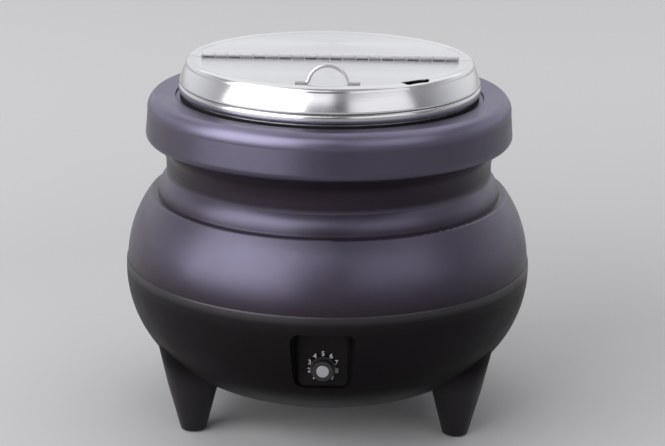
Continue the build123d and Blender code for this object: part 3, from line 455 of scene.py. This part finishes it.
FINISHES = {
    "body_black": moulding(
        "body_black",
        (0.013, 0.007, 0.010),
        (0.017, 0.010, 0.013),
        (0.34, 0.40),
        sheen=0.50,
        sheen_tint=(0.73, 0.69, 1.0),
        ior=2.0,
        painted_sheen_stops=BODY_PAINTED_SHEEN,
    ),
    # Darker, duller copy of the body's finish: painted shade below the seam.
    "bowl_black": moulding(
        "bowl_black",
        (0.006, 0.005, 0.005),
        (0.008, 0.006, 0.007),
        (0.38, 0.46),
        sheen=0.2,
        sheen_tint=(0.95, 0.88, 1.0),
        painted_sheen_stops=BOWL_PAINTED_SHEEN,
    ),
    "foot_rubber": moulding("foot_rubber", (0.020, 0.020, 0.020), (0.028, 0.027, 0.027), (0.75, 0.9)),
    "fixing_steel": plain_metal("fixing_steel", (0.55, 0.55, 0.54), (0.28, 0.4)),
    "dial_black": moulding(
        "dial_black", (0.004, 0.003, 0.003), (0.006, 0.004, 0.004), (0.4, 0.5), sheen=0.15
    ),
    "knob_black": moulding("knob_black", (0.010, 0.010, 0.011), (0.014, 0.013, 0.014), (0.3, 0.4)),
    "cap_silver": plain_metal("cap_silver", (0.46, 0.45, 0.48), (0.30, 0.40)),
    "switch_plastic": moulding("switch_plastic", (0.45, 0.43, 0.38), (0.5, 0.48, 0.43), (0.45, 0.55)),
    "copper": plain_metal("copper", (0.72, 0.42, 0.28), (0.25, 0.4)),
    "pan_steel": turned_steel("pan_steel", (0.60, 0.60, 0.60), (0.22, 0.34), PAN_GRAIN_DEPTH),
    "inset_steel": turned_steel(
        "inset_steel", (0.58, 0.58, 0.59), (0.16, 0.24), POLISHED_GRAIN_DEPTH, stretch=0.4
    ),
    "lid_steel": turned_steel(
        "lid_steel", (0.64, 0.64, 0.655), (0.20, 0.26), POLISHED_GRAIN_DEPTH, stretch=0.6
    ),
    "hinge_steel": brushed_steel(
        "hinge_steel", (0.64, 0.64, 0.65), (0.42, 0.50), HINGE_GRAIN_SCALES, HINGE_GRAIN_DEPTH
    ),
    "handle_steel": plain_metal("handle_steel", (0.60, 0.60, 0.61), (0.30, 0.38)),
    "seal_rubber": moulding(
        "seal_rubber", (0.008, 0.007, 0.008), (0.012, 0.011, 0.012), (0.7, 0.85), sheen=0.15
    ),
    "insulation_fibre": moulding("insulation_fibre", (0.55, 0.52, 0.42), (0.68, 0.64, 0.52), (0.9, 1.0)),
    "heater_aluminium": plain_metal("heater_aluminium", (0.60, 0.60, 0.60), (0.4, 0.55)),
    "cover_black": moulding("cover_black", (0.018, 0.017, 0.018), (0.026, 0.024, 0.026), (0.4, 0.5)),
    "gland_plastic": moulding("gland_plastic", (0.014, 0.014, 0.014), (0.02, 0.02, 0.02), (0.45, 0.55)),
    "wire_brown": moulding("wire_brown", (0.10, 0.045, 0.02), (0.13, 0.06, 0.03), (0.4, 0.5)),
    "wire_blue": moulding("wire_blue", (0.02, 0.06, 0.30), (0.03, 0.08, 0.36), (0.4, 0.5)),
    "wire_green": moulding("wire_green", (0.10, 0.28, 0.04), (0.14, 0.34, 0.06), (0.4, 0.5)),
}


def dress_frame():
    """Gives every node of the frame the finish of its slot."""
    for row in frame["record"]["subparts"]:
        node = frame["nodes"][row["node"]]
        node.data.materials.clear()
        node.data.materials.append(FINISHES[row["material_slot"]])


# Dial print


def print_ink():
    """Slightly uneven pale printing ink."""
    material, tree, shader = new_finish("print_ink", INK_MEAN, INK_ROUGHNESS)
    worn = noise(tree, object_place(tree), INK_SCALE)
    colour = mix_colours(tree, worn, INK_WORN, INK_FULL)
    tree.links.new(colour, shader.inputs["Base Color"])
    return material


def number_shape(number):
    """Flat raised numeral, centred on its own origin."""
    text = bpy.data.curves.new(f"number_{number}", "FONT")
    text.body = str(number)
    text.size = DIAL_FONT_SIZE
    text.align_x = "CENTER"
    text.align_y = "CENTER"
    text.extrude = DIAL_PRINT_T
    text.offset = DIAL_NUMBER_BOLD
    holder = bpy.data.objects.new(f"number_{number}", text)
    bpy.context.scene.collection.objects.link(holder)
    bpy.context.view_layer.update()
    mesh = bpy.data.meshes.new_from_object(holder.evaluated_get(bpy.context.evaluated_depsgraph_get()))
    bpy.data.objects.remove(holder)
    return mesh


def make_dial_numbers():
    """Numbers in an arc round the knob, printed on the front of the dial plate."""
    plate_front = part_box("dial_plate")[0].y
    knob_low, knob_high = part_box("control_knob")
    middle = (knob_low + knob_high) / 2
    upright = Matrix.Rotation(radians(90), 4, "X")
    half = (len(DIAL_NUMBERS) - 1) / 2
    ink = print_ink()
    for index, number in enumerate(DIAL_NUMBERS):
        angle = radians((index - half) * DIAL_NUMBER_STEP)
        rise = DIAL_NUMBER_R * cos(angle)
        spot = Vector((DIAL_NUMBER_R * sin(angle), plate_front, middle.z + rise))
        mesh = number_shape(number)
        mesh.transform(Matrix.Translation(spot) @ upright)
        mesh.materials.clear()
        mesh.materials.append(ink)
        piece = bpy.data.objects.new(f"dial_number_{number}", mesh)
        bpy.context.scene.collection.objects.link(piece)
        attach(piece, "base")


make_camera()
make_world()
make_floor()
for lamp_values in SOFTBOXES:
    softbox(*lamp_values)
dress_frame()
make_dial_numbers()
bpy.context.scene.view_settings.view_transform = "Standard"
